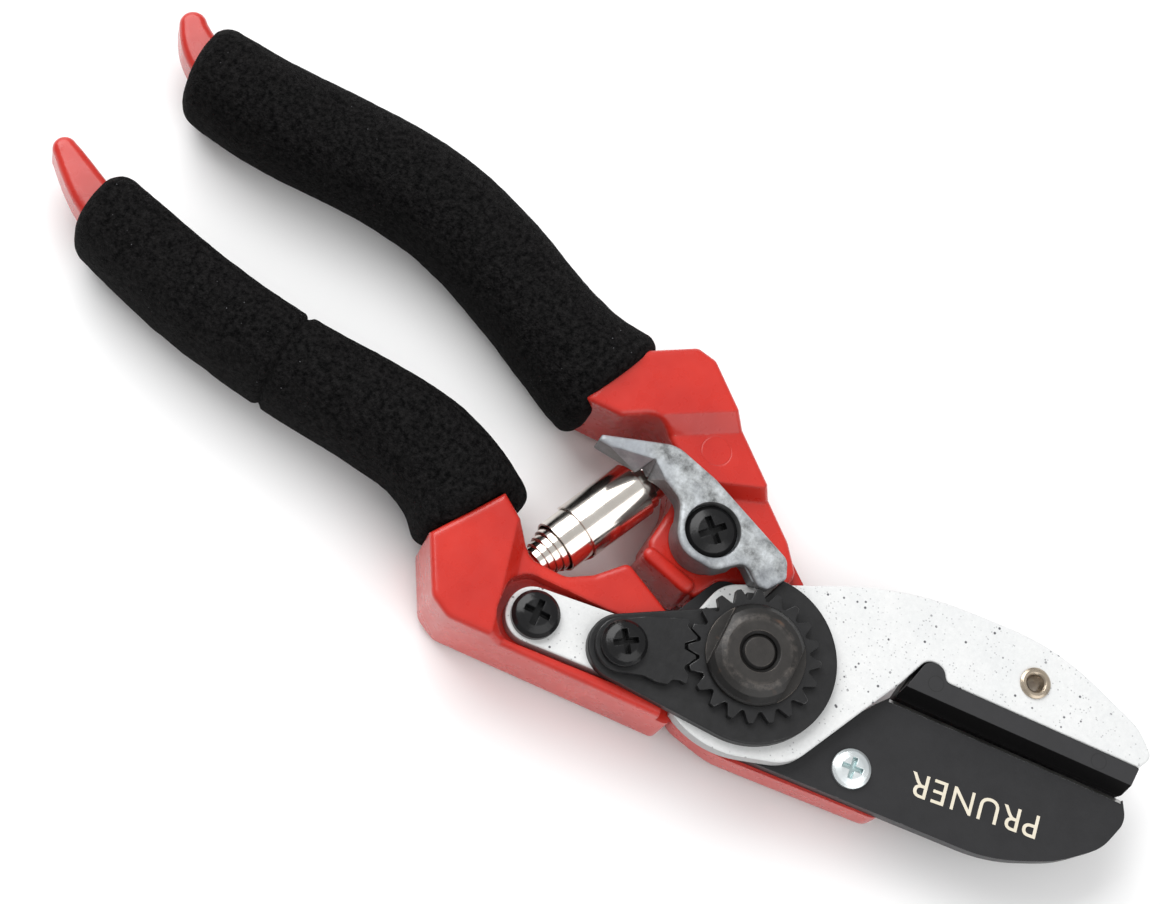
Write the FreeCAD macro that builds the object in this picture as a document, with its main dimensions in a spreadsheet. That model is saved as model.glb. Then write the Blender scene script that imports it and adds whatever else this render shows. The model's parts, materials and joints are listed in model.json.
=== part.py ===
import FreeCAD, Part
import math
import os
import Sketcher

# Anvil pruning shears lying on their side, in millimetres.
# Origin: the pivot axis where it meets the rest plane. +Z runs up the pivot
# axis, +X points along the tool towards the jaws, +Y is the anvil's side.
# The lower handle, the anvil plate and the pivot stay still. The upper handle
# carries the blade and the catch, and turns about the pivot to open.

V = FreeCAD.Vector

# name: (value, what it is)
DIMENSIONS = {
    "head_radius": (6.4, "pivot bolt head, across its round"),
    "head_height": (3.0, "pivot bolt head"),
    "washer_thickness": (0.5, "washer under the blade-side casting"),
    "washer_radius": (8.0, "that washer, outside"),
    "tongue_base": (3.6, "underside of the blade-side tongue"),
    "tongue_height": (6.3, "thickness of the blade-side tongue"),
    "hub_clear_radius": (15.2, "room below the tongue for the pivot's washer"),
    "blade_base": (9.9, "underside of the blade"),
    "blade_thickness": (2.5, "blade"),
    "blade_bevel": (0.8, "how far the ground bevel comes down the blade's face"),
    "thrust_base": (12.45, "underside of the thrust washer"),
    "thrust_thickness": (0.25, "thrust washer"),
    "thrust_radius": (11.0, "thrust washer, outside"),
    "plate_base": (12.7, "underside of the anvil plate"),
    "plate_thickness": (3.0, "anvil plate"),
    "lock_base": (15.7, "underside of the lock plate"),
    "lock_thickness": (2.0, "lock plate"),
    "lock_radius": (14.6, "disc of the lock plate"),
    "tooth_base": (17.7, "underside of the toothed ring and segment"),
    "tooth_thickness": (1.4, "toothed ring and segment"),
    "nut_base": (19.1, "underside of the pivot nut"),
    "nut_height": (3.1, "pivot nut"),
    "nut_radius": (8.6, "pivot nut, across its round"),
    "nut_flats": (13.2, "pivot nut, across its flats"),
    "bolt_radius": (3.0, "pivot bolt, an M6"),
    "bolt_end": (22.0, "top of the pivot bolt"),
    "bush_radius": (4.2, "bush on the pivot bolt, outside"),
    "running_clearance": (0.05, "radial play of each turning fit"),
    "fixed_clearance": (0.03, "radial play of each bolted hole"),
    "casting_base": (1.0, "underside of both castings"),
    "lower_top": (15.6, "top of the lower casting beside the plate"),
    "lower_block_top": (18.4, "top of the lower casting beside the grip"),
    "upper_block_top": (17.8, "top of the upper casting beside the grip"),
    "upper_middle_top": (15.2, "middle level of the upper casting"),
    "upper_low_top": (12.4, "low level of the upper casting"),
    "bar_base": (5.6, "underside of the bar inside each grip"),
    "bar_height": (9.2, "thickness of that bar"),
    "tail_base": (7.0, "underside of the bare tails"),
    "tail_height": (6.4, "thickness of the bare tails"),
    "tail_round": (1.4, "rounding of the bare tails"),
    "grip_base": (0.0, "underside of the foam grips"),
    "grip_height": (20.2, "thickness of the foam grips"),
    "grip_round": (6.6, "rounding along the foam grips"),
    "anvil_base": (8.2, "underside of the anvil"),
    "anvil_flange": (4.5, "thickness of the anvil under its plate"),
    "anvil_top": (15.9, "top of the anvil"),
    "rivet_x": (43.7, "tubular rivet"),
    "rivet_y": (24.6, "tubular rivet"),
    "rivet_radius": (1.9, "tubular rivet, its barrel"),
    "rivet_flange": (2.7, "tubular rivet, its rolled rim"),
    "rivet_bore": (1.5, "tubular rivet, its hole"),
    "plate_screw_x": (-34.1, "screw at the end of the plate's arm"),
    "plate_screw_y": (-14.0, "screw at the end of the plate's arm"),
    "segment_screw_x": (-19.5, "screw through segment, lock plate and anvil plate"),
    "segment_screw_y": (-10.9, "screw through segment, lock plate and anvil plate"),
    "casting_screw_radius": (2.0, "thread of the two screws in the lower casting"),
    "blade_screw_x": (24.2, "blade screw"),
    "blade_screw_y": (-5.2, "blade screw"),
    "blade_screw_radius": (2.0, "blade screw's thread"),
    "catch_x": (-16.9, "catch screw"),
    "catch_y": (14.2, "catch screw"),
    "catch_base": (12.75, "underside of the catch's hub"),
    "catch_nose_base": (17.85, "underside of the catch's nose"),
    "catch_lug_base": (15.95, "underside of the lug below the nose"),
    "catch_horn_base": (15.35, "underside of the catch's horn"),
    "catch_top": (20.0, "top of the catch"),
    "catch_hub_radius": (5.9, "catch hub"),
    "catch_pocket_radius": (4.85, "counterbore in the catch"),
    "catch_pocket_depth": (2.3, "counterbore in the catch"),
    "catch_shank_radius": (3.0, "shoulder that the catch turns on"),
    "catch_washer_thickness": (0.3, "washer below the catch"),
    "spring_x": (-38.8, "spring, its end on the lower handle"),
    "spring_y": (-4.6, "spring, its end on the lower handle"),
    "spring_z": (9.6, "spring axis"),
    "spring_angle": (70.2, "spring axis, degrees from +X"),
    "spring_length": (28.6, "spring between the handles, closed"),
    "spring_radius": (5.2, "spring, widest coil"),
    "tooth_count": (20, "teeth on the whole ring"),
    "tooth_tip_radius": (11.4, "ring over its teeth"),
    "tooth_root_radius": (9.5, "ring between its teeth"),
    "tooth_gap": (0.6, "play between the ring's teeth and the segment's"),
    "segment_boss": (4.6, "toothed segment round its screw"),
    "stop_top": (13.6, "top of the stop pad"),
    "peg_radius": (1.8, "pegs that hold the spring's ends"),
    "peg_length": (2.4, "reach of each peg into the spring"),
    "peg_root": (2.4, "reach of each peg back into its casting"),
    "catch_thread_depth": (9.0, "catch screw's hole"),
    "catch_round": (0.7, "rounding of the catch's upper edges"),
    "sheet_edge": (0.35, "rounding of the pressed plates' upper edges"),
    "edge_round": (1.0, "rounding of the castings' upper edges"),
}

# Outlines seen from above. Each corner is x, y and the radius that rounds it.

# Anvil plate: the arm's round end, the lower edge, the disc round the pivot,
# the throat, the anvil's seat, the tip, the curved back and the shoulder.
PLATE_DISC = (16.4, -114.0, -66.0)
PLATE_OUTLINE = [
    (14.6, -11.4, 8.0), (20.6, 3.5, 40.0), (23.8, 11.3, 0.0), (25.8, 17.6, 2.2),
    (29.0, 18.0, 2.2), (30.4, 15.9, 1.4), (66.2, 22.1, 0.0), (67.4, 25.0, 1.6),
    (63.0, 28.3, 9.0), (44.0, 32.4, 42.0), (17.0, 26.8, 60.0), (-10.6, 8.6, 6.0),
    (-12.6, -3.4, 6.0), (-39.6, -10.3, 4.6), (-38.2, -19.6, 4.6), (-7.4, -13.4, 0.8),
]

# Lock plate: arm round its screw, notch for the catch's nose, round disc.
LOCK_ARM_RADIUS = 5.6
LOCK_NOTCH = [(-5.6, 6.9, 0.8), (-6.5, 9.1, 0.3), (-4.9, 10.0, 0.4), (-3.7, 9.0, 0.4)]
LOCK_NOTCH_RIM = (-2.3, 14.42)

# Toothed ring and segment: where the teeth stand and the segment's back.
RING_PHASE = 8.2
ROOT_SHARE = 0.42
TIP_SHARE = 0.12
TOOTH_ROUND = 0.25
SEGMENT_TEETH = 2
SEGMENT_ROOT_SHARE = 0.36
SEGMENT_TIP_SHARE = 0.07
SEGMENT_FIRST_GAP = 10
SEGMENT_UPPER = [(-21.0, -6.6, 0.0), (-18.6, -4.6, 0.6), (-11.9, -0.6, 0.4), (-12.2, -1.9, 0.2)]
SEGMENT_LOWER = [
    (-9.0, -8.6, 0.2), (-7.6, -9.3, 0.2), (-7.2, -10.7, 0.4), (-8.5, -10.7, 0.5),
    (-9.6, -11.3, 0.4), (-9.9, -12.4, 0.4), (-11.5, -13.1, 0.6), (-14.0, -13.4, 2.0),
    (-17.4, -15.0, 0.0),
]
NUT_TURN = 4.0

# Blade: tail by the pivot, back, round nose, cutting edge, heel and shoulder.
BLADE_HUB = (15.2, 183.0, 284.0)
BLADE_TIP = 4
BLADE_OUTLINE = [
    (52.0, -5.2, 30.0), (62.0, 1.0, 22.0), (67.8, 7.4, 8.0), (69.3, 13.8, 4.0),
    (67.1, 16.9, 0.5), (24.0, 9.3, 0.4), (22.4, 6.9, 1.5), (20.6, 3.6, 1.2), (16.0, 6.0, 2.0),
    (13.0, 10.0, 3.0), (0.0, 12.6, 10.0), (-11.0, 10.6, 4.0),
]

# Anvil: the insert that shows above the plate, and the block below it.
ANVIL_INSERT = [
    (24.6, 9.75, 0.4), (25.9, 17.5, 2.1), (28.9, 17.9, 2.1), (30.3, 15.8, 1.5),
    (66.2, 22.0, 0.3), (66.4, 17.0, 0.4),
]
ANVIL_FRONT = ((45.5, 13.38), -80.2, 1.55)
ANVIL_BLOCK = [
    (24.6, 9.75, 0.6), (25.2, 18.0, 2.5), (38.5, 29.0, 4.0), (48.5, 29.6, 4.0),
    (57.5, 24.5, 3.0), (66.0, 23.6, 1.5), (66.4, 17.0, 0.6),
]

# Lower casting: round its spring seat to the hub, then along the outer side.
LOWER_OUTLINE = [
    (-56.0, -12.6, 0.0), (-50.0, -21.4, 3.0), (-46.0, -23.0, 3.0), (-5.0, -16.2, 1.2),
]
LOWER_HUB_RADIUS = 15.6
LOWER_HUB_ARC = (246.5, 182.5)
LOWER_INNER = [
    (-25.6, 2.9, 1.2), (-29.4, -2.2, 3.0), (-33.2, -5.2, 3.0), (-39.6, -5.9, 3.0),
    (-44.9, -1.9, 0.0), (-49.2, 0.4, 0.0),
]
LOWER_STEP = ((-38.6, -14.0), 19.0, 2.3)
PLATE_RECESS = [
    (-41.4, -8.6, 4.4), (-39.6, -20.9, 4.4), (-8.6, -14.6, 0.0), (-7.6, -18.0, 0.0),
    (0.0, -18.0, 0.0), (0.0, 0.4, 0.0),
    (-24.0, -6.1, 20.0), (-32.0, -7.2, 6.0),
]

# Upper casting, outside of its grip, and its two steps: foot, heading, run.
UPPER_OUTLINE = [
    (-46.8, 22.5, 0.0), (-40.0, 23.4, 1.5), (-34.6, 27.8, 4.0), (-27.6, 24.0, 3.0), (-24.4, 17.0, 6.0),
    (-24.6, 8.4, 2.0), (-13.2, 5.0, 1.2), (-11.4, 7.6, 2.0), (-8.6, 11.2, 3.0),
    (-0.4, 14.6, 3.0), (-0.3, 18.8, 2.0), (-4.2, 22.9, 4.0), (-31.4, 41.6, 2.0),
    (-35.2, 41.8, 1.5), (-43.9, 34.9, 0.0),
]
UPPER_FIRST_STEP = ((-28.6, 28.1), -52.5, 3.0)
UPPER_SECOND_STEP = ((-13.6, 25.1), -62.0, 1.9)
STOP_PAD = [(-24.6, 8.6, 1.2), (-24.2, 6.0, 1.2), (-14.2, 4.4, 1.3), (-13.8, 7.2, 1.3)]

# Tongue below the blade: its back follows the blade's.
UPPER_TONGUE = [
    (4.0, -15.3, 14.0), (33.4, -9.2, 2.6), (32.4, -2.0, 3.0), (13.0, 6.0, 12.0),
    (8.0, 14.0, 6.0), (-9.0, 14.0, 6.0), (-14.4, 3.0, 6.0), (-6.2, -14.3, 5.5),
]
UPPER_LEDGE = [
    (-6.0, 12.0, 2.0), (1.9, 13.2, 3.0), (2.2, 18.6, 0.8), (-3.6, 22.3, 2.0), (-12.0, 20.0, 2.0),
]

# Catch: tip of the horn, its back, the nose, the hub, the horn's inner side.
CATCH_OUTLINE = [
    (-41.0, 16.6, 0.3), (-41.0, 17.8, 0.3), (-29.5, 23.6, 6.0), (-21.0, 22.3, 6.0),
    (-3.6, 17.2, 2.2),
    (-2.1, 14.2, 0.8), (-4.0, 10.7, 0.9), (-5.6, 10.3, 0.9), (-9.4, 12.6, 1.6),
    (-13.2, 8.4, 3.0), (-20.6, 8.0, 5.0), (-24.0, 15.6, 3.0), (-28.0, 17.1, 5.0),
]
HORN_FACES = [((-35.4, 15.9), -72.7, 1.9, 10.2), ((-28.94, 16.06), -121.8, 1.4, 7.6)]
CATCH_NOSE_CUT = [(-12.4, 24.0), (-10.6, 12.0), (-13.0, 5.0), (0.0, 5.0), (0.0, 24.0)]
CATCH_LUG = [
    (-10.6, 16.6, 0.0), (-4.4, 15.6, 0.8), (-5.7, 11.0, 0.5), (-6.7, 10.6, 0.5),
    (-9.4, 12.3, 1.0), (-11.0, 12.6, 0.0),
]

# Grips and the bars inside them: x, y and half the width of each station.
LOWER_GRIP = [
    (-133.6, 5.4, 7.2), (-123.0, 3.6, 7.7), (-110.0, 1.7, 8.0), (-98.0, 1.0, 8.2),
    (-86.0, 1.2, 8.5), (-75.0, 1.9, 8.9), (-65.0, 1.6, 9.0), (-57.6, -1.0, 8.8),
    (-52.4, -4.8, 8.7),
]
UPPER_GRIP = [
    (-134.0, 37.6, 8.0), (-122.0, 37.4, 8.8), (-110.0, 38.7, 9.1), (-100.0, 40.0, 9.1),
    (-91.0, 40.5, 9.1), (-82.0, 39.8, 9.1), (-73.0, 37.7, 9.1), (-65.0, 35.0, 9.1),
    (-57.0, 32.3, 9.1), (-51.0, 30.9, 9.2), (-45.3, 30.3, 9.5),
]
LOWER_BAR = [
    (-132.0, 5.7, 4.0), (-123.0, 4.0, 5.0), (-110.0, 2.1, 5.6), (-98.0, 1.4, 5.8),
    (-86.0, 1.6, 5.9), (-75.0, 2.3, 6.0), (-65.0, 2.0, 6.2), (-57.0, -0.9, 6.4),
    (-49.0, -7.2, 6.6),
]
UPPER_BAR = [
    (-132.0, 38.6, 4.2), (-122.0, 37.8, 5.4), (-110.0, 39.1, 5.8), (-100.0, 40.4, 5.9),
    (-91.0, 40.9, 6.0), (-82.0, 40.2, 6.0), (-73.0, 38.1, 6.0), (-65.0, 35.4, 6.0),
    (-57.0, 32.7, 6.0), (-49.0, 31.1, 6.0), (-40.0, 30.6, 6.0),
]

# Bare tails beyond the grips, also as stations.
LOWER_TAIL = [(-143.0, 10.7, 2.1), (-139.0, 8.6, 2.9), (-134.0, 6.2, 3.5), (-128.0, 4.7, 3.8)]
UPPER_TAIL = [(-138.7, 42.8, 2.4), (-137.0, 41.2, 2.9), (-134.0, 39.3, 3.5), (-128.0, 37.8, 3.8)]

# Slant of the foam's ends, in degrees: rear, then front of lower and upper.
TAIL_START = -134.0
GRIP_REAR = 5.0
LOWER_FRONT = 10.0
UPPER_FRONT = -13.0

doc = FreeCAD.newDocument("pruning_shears")
sheet = doc.addObject("Spreadsheet::Sheet", "dims")
for row, (alias, (value, meaning)) in enumerate(DIMENSIONS.items(), start=1):
    sheet.set("A%d" % row, alias)
    sheet.set("B%d" % row, str(value))
    sheet.set("C%d" % row, meaning)
    sheet.setAlias("B%d" % row, alias)
doc.recompute()


def dim(alias):
    return float(sheet.get(alias))


def corner_points(corners, index):
    """Where the rounding of one corner starts and ends, and its middle."""
    x, y, radius = corners[index]
    before = corners[index - 1]
    after = corners[(index + 1) % len(corners)]
    point = V(x, y, 0)
    to_before = (V(before[0], before[1], 0) - point).normalize()
    to_after = (V(after[0], after[1], 0) - point).normalize()
    half_angle = to_before.getAngle(to_after) / 2
    reach = radius / math.tan(half_angle)
    bisector = (to_before + to_after).normalize()
    middle = point + bisector * (radius / math.sin(half_angle) - radius)
    return point + to_before * reach, middle, point + to_after * reach


def rounded(corners):
    """Closed outline of straight lines joined by tangent arcs."""
    edges = []
    last_end = None
    first_start = None
    for index, (x, y, radius) in enumerate(corners):
        if radius:
            start, middle, end = corner_points(corners, index)
        else:
            start = end = V(x, y, 0)
        if last_end is not None and (start - last_end).Length > 1e-6:
            edges.append(Part.LineSegment(last_end, start))
        if radius:
            edges.append(Part.Arc(start, middle, end))
        first_start = first_start or start
        last_end = end
    edges.append(Part.LineSegment(last_end, first_start))
    return edges


def spline(points):
    curve = Part.BSplineCurve()
    curve.interpolate([V(x, y, 0) for x, y in points])
    return curve


def ribbon(stations, near=0, far=0, nose=False):
    """Closed outline of a band with the given half width at each station.

    Near and far turn the band's first and last ends, in degrees, and the
    stations next to them by a third as much. A nose rounds the first end.
    """
    centre = spline([(x, y) for x, y, half in stations])
    turns = [0] * len(stations)
    turns[0], turns[1], turns[-2], turns[-1] = near, near / 3, far / 3, far
    left = []
    right = []
    for (x, y, half), turn in zip(stations, turns):
        tangent = centre.tangent(centre.parameter(V(x, y, 0)))[0]
        slant = tangent * half * math.tan(math.radians(turn))
        left.append((x - tangent.y * half - slant.x, y + tangent.x * half - slant.y))
        right.append((x + tangent.y * half + slant.x, y - tangent.x * half + slant.y))
    ends = [Part.LineSegment(V(*left[-1], 0), V(*right[-1], 0)),
            Part.LineSegment(V(*right[0], 0), V(*left[0], 0))]
    if nose:
        x, y, half = stations[0]
        tip = V(x, y, 0) - centre.tangent(centre.parameter(V(x, y, 0)))[0] * half
        ends[1] = Part.Arc(V(*right[0], 0), tip, V(*left[0], 0))
    return [spline(left), ends[0], spline(right), ends[1]]


def new_body(label):
    body = doc.addObject("PartDesign::Body", label)
    body.Label = label
    return body


def new_sketch(body, name, height=None, plane="XY_Plane"):
    """Sketch on one of the body's own origin planes, lifted to a height."""
    sketch = body.newObject("Sketcher::SketchObject", body.Label + "_" + name)
    support = [item for item in body.Origin.OriginFeatures if item.Role == plane][0]
    sketch.AttachmentSupport = [(support, "")]
    sketch.MapMode = "FlatFace"
    if height:
        sketch.setExpression("AttachmentOffset.Base.z", height)
    return sketch


def draw(sketch, edges):
    for edge in edges:
        index = sketch.addGeometry(edge)
        sketch.addConstraint(Sketcher.Constraint("Block", index))


def draw_circle(sketch, x, y, radius):
    """Circle whose place and radius are expressions of the sheet."""
    index = sketch.addGeometry(Part.Circle(V(1, 1, 0), V(0, 0, 1), 1))
    for kind, expression in (("Radius", radius), ("DistanceX", x), ("DistanceY", y)):
        if kind == "Radius":
            number = sketch.addConstraint(Sketcher.Constraint(kind, index, 1.0))
        else:
            number = sketch.addConstraint(Sketcher.Constraint(kind, -1, 1, index, 3, 1.0))
        sketch.setExpression("Constraints[%d]" % number, expression)


def add(body, kind, sketch, length, name):
    """Pad upwards or pocket downwards from a sketch."""
    feature = body.newObject("PartDesign::" + kind, body.Label + "_" + name)
    feature.Profile = sketch
    feature.setExpression("Length", length)
    before = body.Shape.Volume if kind == "Pocket" else 0
    doc.recompute()
    if kind == "Pocket" and body.Shape.Volume >= before:
        raise RuntimeError(feature.Name + " cuts nothing")
    return feature


def pad(body, name, edges, height, length):
    sketch = new_sketch(body, name + "_sketch", height)
    draw(sketch, edges)
    return add(body, "Pad", sketch, length, name)


def pocket(body, name, edges, height, length):
    sketch = new_sketch(body, name + "_sketch", height)
    draw(sketch, edges)
    return add(body, "Pocket", sketch, length, name)


def bore(body, name, x, y, radius, height, length):
    sketch = new_sketch(body, name + "_sketch", height)
    draw_circle(sketch, x, y, radius)
    return add(body, "Pocket", sketch, length, name)


def disc(body, name, x, y, radius, height, length):
    sketch = new_sketch(body, name + "_sketch", height)
    draw_circle(sketch, x, y, radius)
    return add(body, "Pad", sketch, length, name)


def level_edges(body, height, keep=None):
    """Names of the edges that lie flat at a height."""
    names = []
    for number, edge in enumerate(body.Shape.Edges, start=1):
        box = edge.BoundBox
        if abs(box.ZMin - height) < 1e-4 and abs(box.ZMax - height) < 1e-4:
            if keep is None or keep(edge):
                names.append("Edge%d" % number)
    return names


def rim_edges(body, side, keep=None):
    """Edges where an upward (side 1) or downward (side -1) face meets a wall."""
    shape = body.Shape
    names = []
    for number, edge in enumerate(shape.Edges, start=1):
        middle = edge.valueAt((edge.FirstParameter + edge.LastParameter) / 2)
        rises = []
        for face in shape.ancestorsOfType(edge, Part.Face):
            u, v = face.Surface.parameter(middle)
            rises.append(face.normalAt(u, v).z * side)
        if len(rises) == 2 and max(rises) > 0.3 and abs(min(rises)) < 0.05:
            if keep is None or keep(middle):
                names.append("Edge%d" % number)
    return names


def slope(body, name, foot, heading, low, high, run, width=200):
    """Cut a step: a slope up from its foot, and all that lies beyond the foot."""
    sketch = new_sketch(body, name + "_sketch")
    upright = FreeCAD.Rotation(V(1, 0, 0), 90)
    sketch.AttachmentOffset = FreeCAD.Placement(
        V(foot[0], foot[1], 0), FreeCAD.Rotation(V(0, 0, 1), heading) * upright)
    corners = [(-run, high), (-run - 0.01, high + 5), (90, high + 5), (90, low), (0, low)]
    points = [V(x, y, 0) for x, y in corners]
    draw(sketch, [Part.LineSegment(a, b) for a, b in zip(points, points[1:] + points[:1])])
    feature = body.newObject("PartDesign::Pocket", body.Label + "_" + name)
    feature.Profile = sketch
    feature.Midplane = True
    feature.Length = width
    before = body.Shape.Volume
    doc.recompute()
    if body.Shape.Volume >= before:
        raise RuntimeError(feature.Name + " cuts nothing")
    return feature


def dress(body, kind, name, edges, size):
    """Fillet or chamfer on the named edges of the body's last feature."""
    base = body.Tip
    feature = body.newObject("PartDesign::" + kind, body.Label + "_" + name)
    feature.Base = (base, edges)
    feature.setExpression("Radius" if kind == "Fillet" else "Size", size)
    doc.recompute()
    return feature


def revolve(body, name, profile):
    """Solid turned about the body's own Z axis from an X-Z profile."""
    sketch = new_sketch(body, name + "_sketch", plane="XZ_Plane")
    points = [V(x, z, 0) for x, z in profile]
    draw(sketch, [Part.LineSegment(a, b) for a, b in zip(points, points[1:] + points[:1])])
    feature = body.newObject("PartDesign::Revolution", body.Label + "_" + name)
    feature.Profile = sketch
    feature.ReferenceAxis = (sketch, ["V_Axis"])
    feature.Angle = 360
    doc.recompute()
    return feature


def cross(width, length):
    """Outline of a Phillips recess."""
    a = width / 2
    b = length / 2
    corners = [(b, -a), (b, a), (a, a), (a, b), (-a, b), (-a, a),
               (-b, a), (-b, -a), (-a, -a), (-a, -b), (a, -b), (a, -a)]
    points = [V(x, y, 0) for x, y in corners]
    return [Part.LineSegment(p, q) for p, q in zip(points, points[1:] + points[:1])]


def place(body, x, y, height, turn=0):
    body.setExpression("Placement.Base.x", x)
    body.setExpression("Placement.Base.y", y)
    body.setExpression("Placement.Base.z", height)
    body.Placement.Rotation = FreeCAD.Rotation(V(0, 0, 1), turn)
    doc.recompute()


def washer(label, outer, inner, height, thickness, x="0", y="0"):
    body = new_body(label)
    sketch = new_sketch(body, "sketch", height)
    draw_circle(sketch, x, y, outer)
    draw_circle(sketch, x, y, inner)
    add(body, "Pad", sketch, thickness, "ring")
    return body


def screw(label, head_radius, head_height, shank_radius, shank_length, shoulder=None):
    """Pan-head cross-recess screw with its seat at its own zero height."""
    body = new_body(label)
    rise = head_height * 0.45
    profile = [(0, head_height), (head_radius * 0.55, head_height * 0.93),
               (head_radius * 0.85, head_height * 0.72), (head_radius, rise),
               (head_radius, 0)]
    if shoulder:
        profile += [(shoulder[0], 0), (shoulder[0], -shoulder[1])]
        profile += [(shank_radius, -shoulder[1])]
    else:
        profile += [(shank_radius, 0)]
    profile += [(shank_radius, 0.6 - shank_length), (shank_radius - 0.6, -shank_length)]
    profile += [(0, -shank_length)]
    revolve(body, "turned", profile)
    pocket(body, "recess", cross(head_radius * 0.26, head_radius * 1.1),
           str(head_height), str(head_height * 0.75))
    return body


def joins(edge, first, second):
    """Whether an edge runs between two points, either way round."""
    ends = (edge.StartPoint, edge.EndPoint)
    return all(min((point - end).Length for end in ends) < 1e-6 for point in (first, second))


def with_arc(corners, arc):
    """Rounded outline whose stretch between two of its corners is an arc."""
    edges = [edge for edge in rounded(corners) if not joins(edge, arc[0], arc[2])]
    return edges + [Part.Arc(*arc)]


def arc_about_pivot(radius, start, end):
    """Three points of an arc about the pivot, from one angle to another."""
    points = []
    for degrees in (start, (start + end) / 2, end):
        angle = math.radians(degrees)
        points.append(V(math.cos(angle), math.sin(angle), 0) * radius)
    return points


def corner(point, radius=0.0):
    return (point.x, point.y, radius)


def peg(body, distance, side):
    """Short peg that holds an end coil of the spring, rooted in the casting."""
    turn = dim("spring_angle")
    middle = distance + side * dim("peg_root") / 2
    sketch = new_sketch(body, "peg_sketch")
    upright = FreeCAD.Rotation(V(0, 1, 0), 90)
    start = V(dim("spring_x"), dim("spring_y"), dim("spring_z"))
    sketch.AttachmentOffset = FreeCAD.Placement(
        start + turned(middle, turn), FreeCAD.Rotation(V(0, 0, 1), turn) * upright)
    draw_circle(sketch, "0", "0", "dims.peg_radius")
    feature = body.newObject("PartDesign::Pad", body.Label + "_peg")
    feature.Profile = sketch
    feature.Midplane = True
    feature.setExpression("Length", "dims.peg_length * 2 + dims.peg_root")
    doc.recompute()


def blade_outline():
    arc = arc_about_pivot(*BLADE_HUB)
    return with_arc(BLADE_OUTLINE + [corner(arc[0]), corner(arc[2])], arc)


def add_tail(body, stations):
    """Bare end of a handle beyond its grip, rounded along its upper edge."""
    pad(body, "tail", ribbon(stations, nose=True), "dims.tail_base", "dims.tail_height")
    top = dim("tail_base") + dim("tail_height")
    dress(body, "Fillet", "tail_round", level_edges(body, top, is_bare), "dims.tail_round")


def is_bare(edge):
    return edge.BoundBox.XMin < TAIL_START and len(edge.Vertexes) == 2


def make_lower_handle():
    body = new_body("lower_handle")
    arc = arc_about_pivot(LOWER_HUB_RADIUS, *LOWER_HUB_ARC)
    corners = LOWER_OUTLINE + [corner(arc[0]), corner(arc[2])] + LOWER_INNER
    pad(body, "casting", with_arc(corners, arc), "dims.casting_base",
        "dims.lower_block_top - dims.casting_base")
    foot, heading, run = LOWER_STEP
    slope(body, "step", foot, heading, dim("lower_top"), dim("lower_block_top"), run)
    dress(body, "Fillet", "round", rim_edges(body, 1) + rim_edges(body, -1), "dims.edge_round")
    pad(body, "bar", ribbon(LOWER_BAR), "dims.bar_base", "dims.bar_height")
    add_tail(body, LOWER_TAIL)
    pocket(body, "recess", rounded(PLATE_RECESS), "dims.lower_top + 5",
           "dims.lower_top + 5 - dims.plate_base")
    for name in ("plate", "segment"):
        bore(body, name + "_thread", "dims.%s_screw_x" % name, "dims.%s_screw_y" % name,
             "dims.casting_screw_radius + dims.fixed_clearance", "dims.lower_top",
             "dims.lower_top - dims.casting_base - 1")
    peg(body, 0, -1)
    return body


def make_upper_handle():
    body = new_body("upper_handle")
    pad(body, "casting", rounded(UPPER_OUTLINE), "dims.casting_base",
        "dims.upper_block_top - dims.casting_base")
    steps = (UPPER_FIRST_STEP, UPPER_SECOND_STEP)
    levels = ("upper_block_top", "upper_middle_top", "upper_low_top")
    for number, (foot, heading, run) in enumerate(steps):
        slope(body, "step_%d" % (number + 1), foot, heading, dim(levels[number + 1]),
              dim(levels[number]), run)
    dress(body, "Fillet", "round", rim_edges(body, 1) + rim_edges(body, -1), "dims.edge_round")
    pad(body, "tongue", rounded(UPPER_TONGUE), "dims.tongue_base", "dims.tongue_height")
    pad(body, "ledge", rounded(UPPER_LEDGE), "dims.casting_base", "dims.blade_base - dims.casting_base")
    pad(body, "bar", ribbon(UPPER_BAR), "dims.bar_base", "dims.bar_height")
    add_tail(body, UPPER_TAIL)
    pad(body, "stop", rounded(STOP_PAD), "dims.casting_base",
        "dims.stop_top - dims.casting_base")
    dress(body, "Fillet", "stop_round", level_edges(body, dim("stop_top")), "dims.edge_round")
    pocket(body, "blade_seat", blade_outline(), "dims.upper_low_top + 3",
           "dims.upper_low_top + 3 - dims.blade_base")
    bore(body, "pivot", "0", "0", "dims.bush_radius + dims.running_clearance",
         "dims.upper_low_top + 3", "20")
    bore(body, "hub_clear", "0", "0", "dims.hub_clear_radius", "dims.tongue_base", "10")
    bore(body, "blade_thread", "dims.blade_screw_x", "dims.blade_screw_y",
         "dims.blade_screw_radius + dims.fixed_clearance", "dims.blade_base", "dims.tongue_height")
    bore(body, "catch_thread", "dims.catch_x", "dims.catch_y",
         "dims.casting_screw_radius + dims.fixed_clearance", "dims.upper_low_top",
         "dims.catch_thread_depth")
    peg(body, dim("spring_length"), 1)
    return body


def make_grip(label, stations, bar, tail, front):
    body = new_body(label)
    pad(body, "foam", ribbon(stations, GRIP_REAR, front), "dims.grip_base", "dims.grip_height")
    top = dim("grip_base") + dim("grip_height")
    sides = level_edges(body, top, is_curved) + level_edges(body, dim("grip_base"), is_curved)
    dress(body, "Fillet", "round", sides, "dims.grip_round")
    pocket(body, "core", ribbon(bar), "dims.bar_base + dims.bar_height", "dims.bar_height")
    pocket(body, "tail_hole", ribbon(tail, nose=True), "dims.tail_base + dims.tail_height",
           "dims.tail_height")
    return body


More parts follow.
